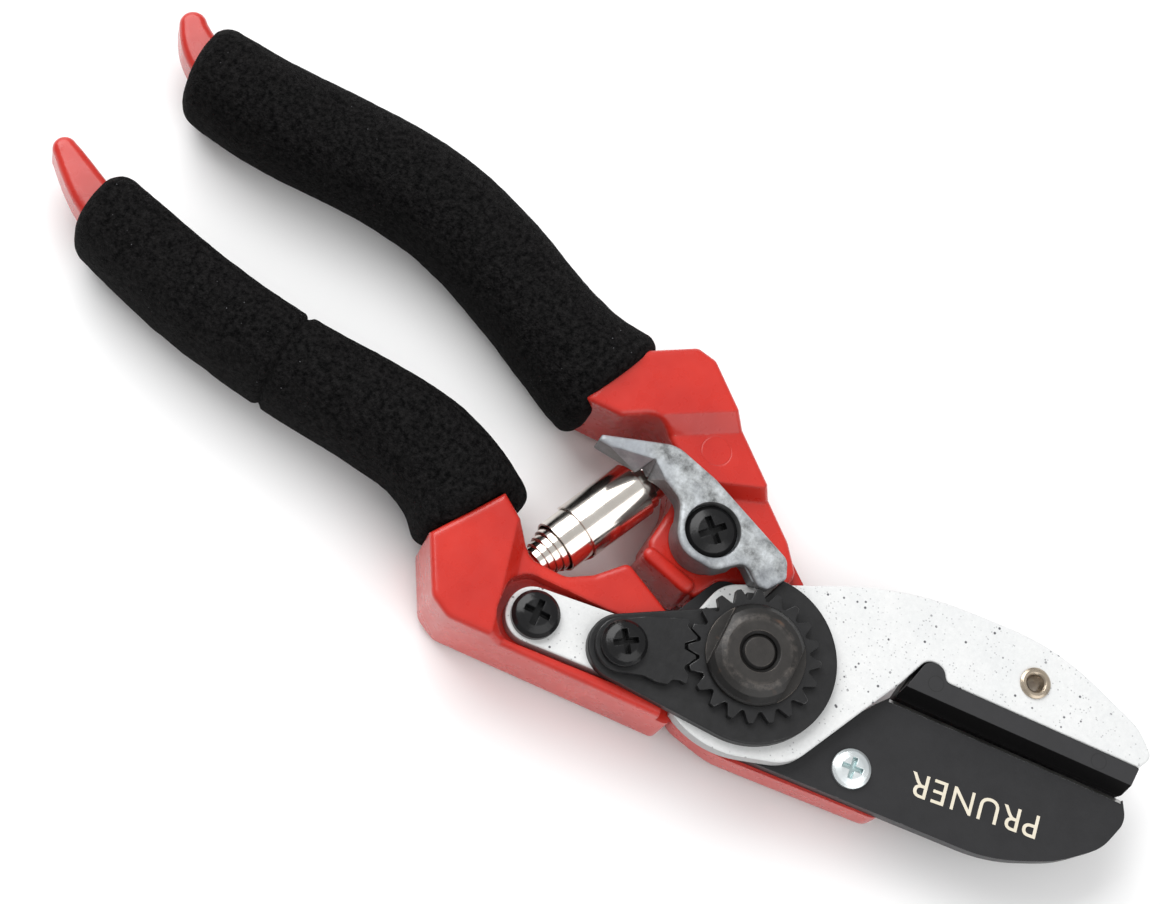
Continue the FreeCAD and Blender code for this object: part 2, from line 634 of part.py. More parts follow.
def is_curved(edge):
    return edge.Curve.TypeId == "Part::GeomBSplineCurve"


def make_anvil_plate():
    body = new_body("anvil_plate")
    arc = arc_about_pivot(*PLATE_DISC)
    corners = PLATE_OUTLINE + [corner(arc[0]), corner(arc[2])]
    pad(body, "sheet", with_arc(corners, arc), "dims.plate_base", "dims.plate_thickness")
    top = "dims.plate_base + dims.plate_thickness"
    bore(body, "pivot_hole", "0", "0", "dims.bolt_radius + dims.fixed_clearance", top,
         "dims.plate_thickness")
    bore(body, "rivet_hole", "dims.rivet_x", "dims.rivet_y",
         "dims.rivet_radius + dims.fixed_clearance", top, "dims.plate_thickness")
    for name in ("plate", "segment"):
        bore(body, name + "_hole", "dims.%s_screw_x" % name, "dims.%s_screw_y" % name,
             "dims.casting_screw_radius + dims.fixed_clearance", top, "dims.plate_thickness")
    height = dim("plate_base") + dim("plate_thickness")
    dress(body, "Fillet", "edge", level_edges(body, height, is_outer), "dims.sheet_edge")
    return body


def is_outer(edge):
    """Not one of the round holes."""
    return not edge.isClosed()


def make_lock_plate():
    body = new_body("lock_plate")
    x = dim("segment_screw_x")
    y = dim("segment_screw_y")
    along = V(-x, -y, 0)
    distance = along.Length
    heading = math.degrees(math.atan2(along.y, along.x))
    drop = math.degrees(math.acos((dim("lock_radius") - LOCK_ARM_RADIUS) / distance))
    low = heading + 180 + drop
    lower_tangents = [V(x, y, 0) + turned(LOCK_ARM_RADIUS, low), turned(dim("lock_radius"), low)]
    high = heading + 96
    arm_top = V(x, y, 0) + turned(LOCK_ARM_RADIUS, high)
    arm_back = V(x, y, 0) + turned(LOCK_ARM_RADIUS, (low + high) / 2)
    rim = V(LOCK_NOTCH_RIM[0], LOCK_NOTCH_RIM[1], 0)
    rim = rim * (dim("lock_radius") / rim.Length)
    rim_angle = math.degrees(math.atan2(rim.y, rim.x))
    disc_middle = turned(dim("lock_radius"), (rim_angle + low - 360) / 2)
    corners = [corner(arm_top)] + LOCK_NOTCH + [corner(rim), corner(lower_tangents[0])]
    edges = rounded(corners)[:-2]
    edges.append(Part.Arc(rim, disc_middle, lower_tangents[1]))
    edges.append(Part.LineSegment(lower_tangents[1], lower_tangents[0]))
    edges.append(Part.Arc(lower_tangents[0], arm_back, arm_top))
    pad(body, "sheet", edges, "dims.lock_base", "dims.lock_thickness")
    top = "dims.lock_base + dims.lock_thickness"
    bore(body, "pivot_hole", "0", "0", "dims.bolt_radius + dims.fixed_clearance", top,
         "dims.lock_thickness")
    bore(body, "screw_hole", "dims.segment_screw_x", "dims.segment_screw_y",
         "dims.casting_screw_radius + dims.fixed_clearance", top, "dims.lock_thickness")
    height = dim("lock_base") + dim("lock_thickness")
    dress(body, "Fillet", "edge", level_edges(body, height, is_outer), "dims.sheet_edge")
    return body


def turned(radius, degrees):
    angle = math.radians(degrees)
    return V(math.cos(angle), math.sin(angle), 0) * radius


def tooth_outline(radius_tip, radius_root, pitch, angle):
    """Four corners of one tooth standing at an angle."""
    sides = ((radius_root, -ROOT_SHARE), (radius_tip, -TIP_SHARE),
             (radius_tip, TIP_SHARE), (radius_root, ROOT_SHARE))
    return [corner(turned(radius, angle + share * pitch), TOOTH_ROUND) for radius, share in sides]


def polygon(points):
    return [Part.LineSegment(a, b) for a, b in zip(points, points[1:] + points[:1])]


def make_toothed_ring():
    body = new_body("toothed_ring")
    pitch = 360.0 / dim("tooth_count")
    corners = []
    for number in range(int(dim("tooth_count"))):
        corners += tooth_outline(dim("tooth_tip_radius"), dim("tooth_root_radius"), pitch,
                                 RING_PHASE + number * pitch)
    pad(body, "teeth", rounded(corners), "dims.tooth_base", "dims.tooth_thickness")
    bore(body, "hole", "0", "0", "dims.bolt_radius + dims.fixed_clearance",
         "dims.tooth_base + dims.tooth_thickness", "dims.tooth_thickness")
    return body


def make_lock_segment():
    """Segment round its screw whose teeth fill the ring's gaps."""
    body = new_body("lock_segment")
    pitch = 360.0 / dim("tooth_count")
    gap = dim("tooth_gap")
    tip = dim("tooth_root_radius") + gap
    root = dim("tooth_tip_radius") + gap
    corners = list(SEGMENT_UPPER)
    for number in range(SEGMENT_TEETH):
        angle = RING_PHASE + (SEGMENT_FIRST_GAP + number + 0.5) * pitch
        for radius, share in ((root, -SEGMENT_ROOT_SHARE), (tip, -SEGMENT_TIP_SHARE),
                              (tip, SEGMENT_TIP_SHARE), (root, SEGMENT_ROOT_SHARE)):
            corners.append(corner(turned(radius, angle + share * pitch), TOOTH_ROUND))
    pad(body, "teeth", rounded(corners + SEGMENT_LOWER), "dims.tooth_base",
        "dims.tooth_thickness")
    disc(body, "boss", "dims.segment_screw_x", "dims.segment_screw_y", "dims.segment_boss",
         "dims.tooth_base", "dims.tooth_thickness")
    bore(body, "hole", "dims.segment_screw_x", "dims.segment_screw_y",
         "dims.casting_screw_radius + dims.fixed_clearance",
         "dims.tooth_base + dims.tooth_thickness", "dims.tooth_thickness")
    return body


def make_nut():
    body = new_body("pivot_nut")
    radius = dim("nut_radius")
    height = dim("nut_height")
    revolve(body, "round", [(dim("bolt_radius") + 0.05, 0), (radius, 0),
                            (radius, height * 0.28), (radius - 0.3, height * 0.45),
                            (radius - 1.1, height * 0.70), (radius - 2.1, height * 0.88),
                            (radius - 3.0, height), (dim("bolt_radius") + 0.55, height),
                            (dim("bolt_radius") + 0.05, height - 0.5)])
    half = dim("nut_flats") / 2
    for number, side in enumerate((-1, 1)):
        near = side * half
        far = side * (radius + 1)
        corners = [V(near, -20, 0), V(far, -20, 0), V(far, 20, 0), V(near, 20, 0)]
        pocket(body, "flat_%d" % (number + 1), polygon(corners), "dims.nut_height",
               "dims.nut_height * 0.85")
    place(body, "0", "0", "dims.nut_base", NUT_TURN)
    return body


def make_bolt():
    body = new_body("pivot_bolt")
    sketch = new_sketch(body, "head_sketch")
    points = [turned(dim("head_radius"), 60 * n) for n in range(6)]
    draw(sketch, polygon(points))
    add(body, "Pad", sketch, "dims.head_height", "head")
    disc(body, "shank", "0", "0", "dims.bolt_radius", "dims.head_height",
         "dims.bolt_end - dims.head_height")
    dress(body, "Chamfer", "end", level_edges(body, dim("bolt_end")), "0.5")
    return body


def make_blade():
    body = new_body("blade")
    pad(body, "sheet", blade_outline(), "dims.blade_base", "dims.blade_thickness")
    top = "dims.blade_base + dims.blade_thickness"
    height = dim("blade_base") + dim("blade_thickness")
    tip_x, tip_y = BLADE_OUTLINE[BLADE_TIP][:2]
    heel_x, heel_y = BLADE_OUTLINE[BLADE_TIP + 1][:2]
    across = math.degrees(math.atan2(tip_y - heel_y, tip_x - heel_x)) + 90
    length = math.hypot(tip_x - heel_x, tip_y - heel_y)
    slope(body, "bevel", ((tip_x + heel_x) / 2, (tip_y + heel_y) / 2), across,
          height - dim("blade_bevel"), height, dim("blade_bevel"), length)
    bore(body, "pivot_hole", "0", "0", "dims.bush_radius + dims.running_clearance", top,
         "dims.blade_thickness")
    bore(body, "screw_hole", "dims.blade_screw_x", "dims.blade_screw_y",
         "dims.blade_screw_radius + dims.fixed_clearance", top, "dims.blade_thickness")
    return body


def make_anvil():
    body = new_body("anvil")
    pad(body, "block", rounded(ANVIL_BLOCK), "dims.anvil_base", "dims.anvil_flange")
    pad(body, "insert", rounded(ANVIL_INSERT), "dims.anvil_base + dims.anvil_flange - 0.5",
        "dims.anvil_top - dims.anvil_base - dims.anvil_flange + 0.5")
    foot, heading, run = ANVIL_FRONT
    slope(body, "front", foot, heading, dim("anvil_base") + dim("anvil_flange"),
          dim("anvil_top"), run)
    bore(body, "rivet_hole", "dims.rivet_x", "dims.rivet_y",
         "dims.rivet_radius + dims.fixed_clearance", "dims.anvil_base + dims.anvil_flange",
         "dims.anvil_flange")
    return body


def make_rivet():
    body = new_body("anvil_rivet")
    low = dim("anvil_base") - 0.5
    high = dim("plate_base") + dim("plate_thickness")
    barrel = dim("rivet_radius")
    flange = dim("rivet_flange")
    hole = dim("rivet_bore")
    revolve(body, "rolled", [(hole, low), (flange - 0.3, low), (flange, low + 0.25),
                             (flange, low + 0.5), (barrel, low + 0.5), (barrel, high),
                             (flange, high), (flange, high + 0.3), (flange - 0.4, high + 0.6),
                             (hole + 0.3, high + 0.6), (hole, high + 0.3)])
    place(body, "dims.rivet_x", "dims.rivet_y", "0")
    return body


def make_catch():
    body = new_body("catch_lever")
    pad(body, "plan", rounded(CATCH_OUTLINE), "dims.catch_horn_base",
        "dims.catch_top - dims.catch_horn_base")
    dress(body, "Fillet", "round", rim_edges(body, 1), "dims.catch_round")
    for number, (foot, heading, run, width) in enumerate(HORN_FACES):
        slope(body, "horn_face_%d" % (number + 1), foot, heading, dim("catch_horn_base") - 0.2,
              dim("catch_top"), run, width)
    under_nose = polygon([V(x, y, 0) for x, y in CATCH_NOSE_CUT])
    pocket(body, "under_nose", under_nose, "dims.catch_nose_base", "5")
    disc(body, "hub", "dims.catch_x", "dims.catch_y", "dims.catch_hub_radius",
         "dims.catch_base", "dims.catch_top - dims.catch_round - dims.catch_base")
    pad(body, "lug", rounded(CATCH_LUG), "dims.catch_lug_base",
        "dims.catch_top - 1 - dims.catch_lug_base")
    bore(body, "pocket", "dims.catch_x", "dims.catch_y", "dims.catch_pocket_radius",
         "dims.catch_top", "dims.catch_pocket_depth")
    bore(body, "bearing", "dims.catch_x", "dims.catch_y",
         "dims.catch_shank_radius + dims.running_clearance", "dims.catch_top",
         "dims.catch_top - dims.catch_base")
    return body


def make_spring():
    """Closed stepped barrel: the space that the rolled strip fills."""
    body = new_body("volute_spring")
    length = dim("spring_length") - 0.1
    wide = dim("spring_radius")
    steps = ((0.0, 0.56), (0.09, 0.68), (0.18, 0.80), (0.27, 0.90), (0.33, 1.0),
             (0.80, 0.86), (0.90, 0.58))
    profile = [(dim("peg_radius") + 0.3, 0.05)]
    for number, (start, share) in enumerate(steps):
        finish = steps[number + 1][0] if number + 1 < len(steps) else 1.0
        profile += [(wide * share, max(start * length, 0.05)), (wide * share, finish * length)]
    profile.append((dim("peg_radius") + 0.3, length))
    revolve(body, "barrel", profile)
    body.setExpression("Placement.Base.x", "dims.spring_x")
    body.setExpression("Placement.Base.y", "dims.spring_y")
    body.setExpression("Placement.Base.z", "dims.spring_z")
    body.Placement.Rotation = (FreeCAD.Rotation(V(0, 0, 1), dim("spring_angle"))
                               * FreeCAD.Rotation(V(0, 1, 0), 90))
    doc.recompute()
    return body


parts = [make_lower_handle(), make_upper_handle()]
parts.append(make_grip("lower_grip", LOWER_GRIP, LOWER_BAR, LOWER_TAIL, LOWER_FRONT))
parts.append(make_grip("upper_grip", UPPER_GRIP, UPPER_BAR, UPPER_TAIL, UPPER_FRONT))
parts += [make_anvil_plate(), make_anvil(), make_rivet(), make_lock_plate()]
parts += [make_toothed_ring(), make_lock_segment(), make_nut(), make_bolt()]
parts += [make_blade(), make_catch(), make_spring()]

parts.append(washer("head_washer", "dims.washer_radius", "dims.bolt_radius + dims.fixed_clearance",
                    "dims.head_height", "dims.washer_thickness"))
parts.append(washer("thrust_washer", "dims.thrust_radius",
                    "dims.bolt_radius + dims.fixed_clearance", "dims.thrust_base",
                    "dims.thrust_thickness"))
parts.append(washer("pivot_bush", "dims.bush_radius", "dims.bolt_radius + dims.fixed_clearance",
                    "dims.head_height + dims.washer_thickness",
                    "dims.thrust_base - dims.head_height - dims.washer_thickness"))
parts.append(washer("catch_washer", "dims.catch_hub_radius - 0.4",
                    "dims.catch_shank_radius + 0.1", "dims.upper_low_top",
                    "dims.catch_washer_thickness", "dims.catch_x", "dims.catch_y"))

# Head radius, head height and length in the hole of each screw.
PLATE_SCREW = (4.1, 2.6, 12.0)
SEGMENT_SCREW = (3.9, 2.5, 15.0)
BLADE_SCREW = (3.4, 1.3, 8.0)
CATCH_SCREW = (4.5, 2.3, 8.0)
thread = dim("casting_screw_radius")
plate_screw = screw("plate_screw", *PLATE_SCREW[:2], thread, PLATE_SCREW[2])
place(plate_screw, "dims.plate_screw_x", "dims.plate_screw_y",
      "dims.plate_base + dims.plate_thickness", 8)
segment_screw = screw("segment_screw", *SEGMENT_SCREW[:2], thread, SEGMENT_SCREW[2])
place(segment_screw, "dims.segment_screw_x", "dims.segment_screw_y",
      "dims.tooth_base + dims.tooth_thickness", 40)
blade_screw = screw("blade_screw", *BLADE_SCREW[:2], dim("blade_screw_radius"),
                    BLADE_SCREW[2])
place(blade_screw, "dims.blade_screw_x", "dims.blade_screw_y",
      "dims.blade_base + dims.blade_thickness", 12)
floor = dim("catch_top") - dim("catch_pocket_depth") + 0.05
catch_screw = screw("catch_screw", *CATCH_SCREW[:2], thread,
                    floor - dim("upper_low_top") + CATCH_SCREW[2],
                    (dim("catch_shank_radius"), floor - dim("upper_low_top")))
place(catch_screw, "dims.catch_x", "dims.catch_y", str(floor), 52)
parts += [plate_screw, segment_screw, blade_screw, catch_screw]

doc.recompute()
for item in doc.Objects:
    if "Invalid" in item.State or "Error" in item.State:
        raise RuntimeError(item.Name + " is " + str(item.State))
os.makedirs("parts", exist_ok=True)
for body in parts:
    shape = body.Shape
    if shape.isNull() or not shape.isValid() or not shape.Solids:
        raise RuntimeError(body.Label + " has no valid solid")
    print("%-16s %9.1f mm3, %d solid" % (body.Label, shape.Volume, len(shape.Solids)))
    shape.exportStep("parts/" + body.Label + ".step")
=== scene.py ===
import json
import math

import bpy
import numpy as np
from mathutils import Matrix, Vector, noise


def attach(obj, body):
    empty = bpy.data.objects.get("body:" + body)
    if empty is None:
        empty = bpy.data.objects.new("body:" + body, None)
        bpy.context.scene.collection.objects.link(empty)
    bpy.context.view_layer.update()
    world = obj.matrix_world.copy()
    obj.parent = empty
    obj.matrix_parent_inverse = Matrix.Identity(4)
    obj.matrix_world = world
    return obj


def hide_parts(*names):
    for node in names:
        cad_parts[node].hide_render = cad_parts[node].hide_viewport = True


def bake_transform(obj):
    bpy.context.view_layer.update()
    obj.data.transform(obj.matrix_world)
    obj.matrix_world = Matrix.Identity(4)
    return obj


# Looks of the anvil pruning shears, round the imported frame. Metres; +Z up the
# pivot axis, +X towards the jaws, +Y the side of the upper handle.

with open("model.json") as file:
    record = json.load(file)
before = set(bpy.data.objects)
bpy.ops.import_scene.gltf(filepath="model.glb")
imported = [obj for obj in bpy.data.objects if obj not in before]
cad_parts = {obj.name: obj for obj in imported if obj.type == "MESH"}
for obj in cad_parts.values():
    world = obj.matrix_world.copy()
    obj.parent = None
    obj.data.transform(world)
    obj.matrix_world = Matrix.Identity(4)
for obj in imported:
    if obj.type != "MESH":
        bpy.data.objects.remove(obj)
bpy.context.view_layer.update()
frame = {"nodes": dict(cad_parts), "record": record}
MM = 0.001


# ---------------------------------------------------------------- materials

class Shader:
    """A node tree being built: every method adds a node and returns its output."""

    def __init__(self, name):
        self.material = bpy.data.materials.new(name)
        self.material.use_nodes = True
        self.tree = self.material.node_tree
        self.tree.nodes.clear()
        self.output = self.tree.nodes.new("ShaderNodeOutputMaterial")
        self.base = self.tree.nodes.new("ShaderNodeBsdfPrincipled")
        self.tree.links.new(self.base.outputs[0], self.output.inputs[0])
        self.place = self.tree.nodes.new("ShaderNodeTexCoord").outputs["Object"]
        self.facing = self.tree.nodes.new("ShaderNodeTexCoord").outputs["Normal"]

    def put(self, socket, value):
        if isinstance(value, bpy.types.NodeSocket):
            self.tree.links.new(value, socket)
        elif isinstance(value, (tuple, list)) and len(value) == 3 and socket.type == "RGBA":
            socket.default_value = (*value, 1)
        else:
            socket.default_value = value

    def set(self, **values):
        for name, value in values.items():
            self.put(self.base.inputs[name.replace("_", " ")], value)

    def noise(self, scale, detail=2.0, rough=0.5, stretch=None, w=0.0):
        node = self.tree.nodes.new("ShaderNodeTexNoise")
        node.noise_dimensions = "4D"
        self.put(node.inputs["Vector"], self.stretched(stretch) if stretch else self.place)
        self.put(node.inputs["W"], w)
        self.put(node.inputs["Scale"], scale)
        self.put(node.inputs["Detail"], detail)
        self.put(node.inputs["Roughness"], rough)
        return node.outputs[0]

    def stretched(self, stretch):
        node = self.tree.nodes.new("ShaderNodeMapping")
        self.put(node.inputs["Vector"], self.place)
        node.inputs["Scale"].default_value = stretch
        return node.outputs[0]

    def cells(self, scale):
        """Distance to the middle of the nearest cell."""
        node = self.tree.nodes.new("ShaderNodeTexVoronoi")
        self.put(node.inputs["Vector"], self.place)
        self.put(node.inputs["Scale"], scale)
        return node.outputs["Distance"]

    def ramp(self, value, *stops):
        node = self.tree.nodes.new("ShaderNodeValToRGB")
        self.put(node.inputs[0], value)
        elements = node.color_ramp.elements
        while len(elements) < len(stops):
            elements.new(0.5)
        for element, (at, colour) in zip(elements, stops):
            element.position = at
            element.color = (*colour, 1)
        return node.outputs[0]

    def grade(self, value, low, high, to_low=0.0, to_high=1.0):
        node = self.tree.nodes.new("ShaderNodeMapRange")
        for name, number in (("Value", value), ("From Min", low), ("From Max", high),
                             ("To Min", to_low), ("To Max", to_high)):
            self.put(node.inputs[name], number)
        return node.outputs[0]

    def mix(self, factor, first, second):
        node = self.tree.nodes.new("ShaderNodeMix")
        node.data_type = "RGBA"
        self.put(node.inputs[0], factor)
        self.put(node.inputs[6], first)
        self.put(node.inputs[7], second)
        return node.outputs[2]

    def math(self, kind, first, second=0.0):
        node = self.tree.nodes.new("ShaderNodeMath")
        node.operation = kind
        self.put(node.inputs[0], first)
        self.put(node.inputs[1], second)
        return node.outputs[0]

    def split(self, vector):
        node = self.tree.nodes.new("ShaderNodeSeparateXYZ")
        self.put(node.inputs[0], vector)
        return node.outputs

    def distance(self, x, y):
        """Distance in the X-Y plane from an upright axis given in millimetres."""
        axes = self.split(self.place)
        dx = self.math("SUBTRACT", axes[0], x * MM)
        dy = self.math("SUBTRACT", axes[1], y * MM)
        square = self.math("ADD", self.math("MULTIPLY", dx, dx), self.math("MULTIPLY", dy, dy))
        return self.math("SQRT", square)

    def band(self, far, start, full, ebb, end):
        """One between two distances in millimetres, fading at both sides."""
        return self.math("MULTIPLY", self.grade(far, start * MM, full * MM),
                         self.grade(far, end * MM, ebb * MM))

    def soft_edges(self, radius):
        node = self.tree.nodes.new("ShaderNodeBevel")
        node.samples = 4
        node.inputs["Radius"].default_value = radius
        return node.outputs[0]

    def bump(self, height, depth, normal=None):
        node = self.tree.nodes.new("ShaderNodeBump")
        self.put(node.inputs["Height"], height)
        node.inputs["Distance"].default_value = depth
        if normal is not None:
            self.put(node.inputs["Normal"], normal)
        return node.outputs[0]

    def edge_wear(self, radius, low=0.02, high=0.12):
        """Near one where a rounded normal leaves the true one, on sharp edges."""
        rounded = self.soft_edges(radius)
        true = self.tree.nodes.new("ShaderNodeNewGeometry").outputs["Normal"]
        node = self.tree.nodes.new("ShaderNodeVectorMath")
        node.operation = "DOT_PRODUCT"
        self.put(node.inputs[0], rounded)
        self.put(node.inputs[1], true)
        return self.grade(self.math("SUBTRACT", 1.0, node.outputs["Value"]), low, high)


# Places of small marks, in millimetres across the tool.
CASTING_MARK = (-23.1, 28.4)
EJECTORS = ((29.0, 14.6), (59.5, 19.0))
BLADE_SCREW = (24.2, -5.2)


def red_paint():
    m = Shader("red_paint")
    cloud = m.noise(90, 3)
    tint = m.mix(m.grade(cloud, 0.35, 0.7), (0.475, 0.018, 0.011), (0.59, 0.028, 0.016))
    chips = m.math("MULTIPLY", m.edge_wear(0.35 * MM, 0.05, 0.22),
                   m.grade(m.noise(900, 2, w=4.0), 0.62, 0.72))
    mark = m.band(m.distance(*CASTING_MARK), 2.45, 2.6, 2.65, 2.8)
    shape = m.math("SUBTRACT", m.noise(260, 2), m.math("MULTIPLY", mark, 0.8))
    dust = m.math("MULTIPLY", m.grade(m.cells(300), 0.05, 0.03),
                  m.grade(m.noise(90, 1, w=7.0), 0.6, 0.63))
    colour = m.mix(m.math("MAXIMUM", chips, dust), tint, (0.80, 0.42, 0.36))
    m.set(Base_Color=colour, Roughness=m.grade(m.noise(400, 2, w=2.0), 0.3, 0.7, 0.24, 0.34),
          Coat_Weight=0.35, Coat_Roughness=0.08, Specular_IOR_Level=0.35,
          Normal=m.bump(shape, 0.07 * MM, m.soft_edges(0.9 * MM)))
    return m.material


def foam():
    m = Shader("foam")
    pores = m.cells(2300)
    fine = m.noise(3600, 3, 0.7)
    mottle = m.noise(1100, 4, 0.7)
    tone = m.ramp(mottle, (0.38, (0.0010, 0.0010, 0.0011)), (0.66, (0.0145, 0.0138, 0.0138)))
    lint = m.math("MULTIPLY", m.grade(m.cells(520), 0.055, 0.030),
                  m.grade(m.noise(70, 1, w=8.0), 0.57, 0.60))
    m.set(Base_Color=m.mix(lint, tone, (0.16, 0.16, 0.17)), Roughness=0.95,
          Specular_IOR_Level=0.08,
          Normal=m.bump(m.math("ADD", pores, fine), 0.30 * MM))
    return m.material


def white_plate():
    m = Shader("white_plate")
    big = m.math("MULTIPLY", m.grade(m.cells(620), 0.17, 0.11),
                 m.grade(m.noise(200, 2), 0.50, 0.54))
    small = m.math("MULTIPLY", m.grade(m.cells(1500), 0.24, 0.15),
                   m.grade(m.noise(500, 2, w=2.0), 0.46, 0.54))
    pins = m.math("MAXIMUM", big, m.math("MULTIPLY", small, 0.45))
    grain = m.noise(1500, 4, 0.75, w=5.0)
    cloud = m.grade(m.noise(60, 4, 0.7, w=3.0), 0.40, 0.70, 0.0, 0.5)
    base = m.mix(cloud, (0.745, 0.75, 0.745), (0.63, 0.65, 0.655))
    base = m.mix(m.grade(grain, 0.35, 0.7), m.mix(0.16, base, (0.3, 0.31, 0.32)), base)
    edge = m.math("MULTIPLY", m.edge_wear(0.25 * MM), m.grade(m.noise(700, 2, w=6.0), 0.5, 0.6))
    colour = m.mix(pins, m.mix(edge, base, (0.30, 0.29, 0.28)), (0.09, 0.09, 0.10))
    # Painted shade: faces that turn away from straight up, the plate's side walls, are darkened
    # towards grey.
    down = m.grade(m.split(m.facing)[2], 0.5, 0.1)
    m.set(Base_Color=m.mix(m.math("MULTIPLY", down, 0.6), colour, (0.22, 0.22, 0.22)),
          Roughness=0.5, Specular_IOR_Level=0.3,
          Normal=m.bump(m.noise(900, 3), 0.05 * MM, m.soft_edges(0.45 * MM)))
    return m.material


def dark_metal(name, low, high, rough, edge, wear):
    m = Shader(name)
    grain = m.noise(500, 4, 0.65)
    rubbed = m.math("MULTIPLY", m.edge_wear(0.25 * MM), m.grade(m.noise(320, 3, w=5.0), *wear))
    m.set(Base_Color=m.mix(rubbed, m.mix(grain, low, high), edge),
          Roughness=m.grade(m.noise(180, 3, w=1.0), 0.3, 0.7, rough - 0.06, rough + 0.1),
          Metallic=m.grade(rubbed, 0, 1, 0.2, 0.9), Specular_IOR_Level=0.35,
          Normal=m.bump(m.noise(1400, 3), 0.04 * MM, m.soft_edges(0.25 * MM)))
    return m


def nut_metal():
    m = dark_metal("nut_metal", (0.018, 0.017, 0.016), (0.050, 0.046, 0.043), 0.34,
                   (0.20, 0.17, 0.145), (0.44, 0.60))
    far = m.distance(0, 0)
    rub = m.math("MULTIPLY", m.band(far, 5.0, 5.9, 6.1, 6.9),
                 m.grade(m.noise(600, 4, 0.7, w=9.0), 0.46, 0.66))
    copper = m.math("MULTIPLY", m.grade(far, 5.8 * MM, 6.4 * MM),
                    m.grade(m.noise(130, 3, 0.7, w=12.0), 0.60, 0.70))
    old = m.base.inputs["Base Color"].links[0].from_socket
    worn = m.mix(m.math("MULTIPLY", rub, 0.6), old, (0.16, 0.14, 0.125))
    # Painted shade: the nut's sides and conical skirt, which do not face straight up, are darkened
    # to near black.
    flank_painted_shade = m.grade(m.split(m.facing)[2], 0.97, 0.80, 0.0, 0.8)
    aged = m.mix(m.math("MULTIPLY", copper, 0.6), worn, (0.22, 0.12, 0.075))
    m.set(Base_Color=m.mix(flank_painted_shade, aged, (0.006, 0.006, 0.006)))
    return m.material


def die_cast():
    m = Shader("die_cast")
    blotch = m.noise(300, 5, 0.72)
    scale = m.noise(75, 3, 0.6, w=2.0)
    tone = m.ramp(blotch, (0.34, (0.10, 0.103, 0.105)), (0.47, (0.31, 0.325, 0.33)),
                  (0.64, (0.57, 0.60, 0.62)))
    dull = m.mix(m.grade(scale, 0.45, 0.7), tone, (0.30, 0.32, 0.35))
    # Painted shade: faces turned away from straight up, the catch's side walls, are darkened.
    down = m.grade(m.split(m.facing)[2], 0.5, 0.1)
    colour = m.mix(m.math("MULTIPLY", down, 0.75), dull, (0.10, 0.095, 0.095))
    m.set(Base_Color=colour, Roughness=0.42, Metallic=0.35,
          Normal=m.bump(m.noise(800, 4, 0.7), 0.12 * MM, m.soft_edges(0.7 * MM)))
    return m.material


def blade_coat():
    m = dark_metal("blade_coat", (0.019, 0.019, 0.020), (0.027, 0.027, 0.029), 0.38,
                   (0.25, 0.25, 0.25), (0.62, 0.7))
    axes = m.split(m.facing)
    ground = m.math("MULTIPLY", m.grade(axes[1], 0.3, 0.45), m.grade(axes[2], 0.2, 0.3))
    scratch = m.grade(m.noise(600, 3, stretch=(0.3, 4, 1)), 0.3, 0.7, 0.45, 0.75)
    bare = m.mix(scratch, (0.30, 0.30, 0.31), (0.62, 0.62, 0.60))
    old = m.base.inputs["Base Color"].links[0].from_socket
    m.set(Base_Color=m.mix(ground, old, bare), Metallic=m.grade(ground, 0, 1, 0.2, 1.0))
    return m.material


def anvil_plastic():
    m = Shader("anvil_plastic")
    tone = m.mix(m.noise(350, 3), (0.022, 0.022, 0.023), (0.031, 0.031, 0.033))
    # Painted shade: anvil faces that do not face up, the working face included, are painted near
    # black and given less specular, as if in deep shadow.
    up = m.grade(m.split(m.facing)[2], 0.7, 0.9)
    rings = None
    for spot in EJECTORS:
        ring = m.band(m.distance(*spot), 1.22, 1.32, 1.38, 1.48)
        rings = ring if rings is None else m.math("ADD", rings, ring)
    tone_with_painted_shade = m.mix(up, (0.0035, 0.0033, 0.0035), tone)
    m.set(Base_Color=m.mix(m.math("MULTIPLY", rings, 0.6), tone_with_painted_shade, (0.012, 0.012, 0.012)),
          Roughness=0.45, Specular_IOR_Level=m.grade(up, 0, 1, 0.08, 0.35),
          Normal=m.bump(m.noise(1200, 2), 0.03 * MM, m.soft_edges(0.3 * MM)))
    return m.material


def bright_metal(name, colour, dull, rough, bump=0.02):
    m = Shader(name)
    m.set(Base_Color=m.mix(m.grade(m.noise(240, 4), 0.3, 0.75), colour, dull), Metallic=1.0,
          Roughness=m.grade(m.noise(500, 3, w=3.0), 0.3, 0.7, rough * 0.8, rough * 1.3),
          Normal=m.bump(m.noise(700, 3), bump * MM, m.soft_edges(0.2 * MM)))
    return m


def zinc():
    m = bright_metal("zinc", (0.86, 0.90, 0.90), (0.70, 0.76, 0.78), 0.3)
    low = m.grade(m.split(m.place)[2], 13.35 * MM, 13.15 * MM)
    near = m.grade(m.distance(*BLADE_SCREW), 2.4 * MM, 2.2 * MM)
    teal = m.math("MULTIPLY", m.math("MULTIPLY", low, near), 0.65)
    old = m.base.inputs["Base Color"].links[0].from_socket
    m.set(Base_Color=m.mix(teal, old, (0.30, 0.46, 0.46)), Metallic=0.8)
    return m.material


def print_ink():
    m = Shader("print_ink")
    m.set(Base_Color=m.mix(m.noise(900, 2), (0.62, 0.56, 0.43), (0.74, 0.69, 0.58)),
          Roughness=0.5, Normal=m.bump(m.noise(1500, 2), 0.02 * MM))
    return m.material


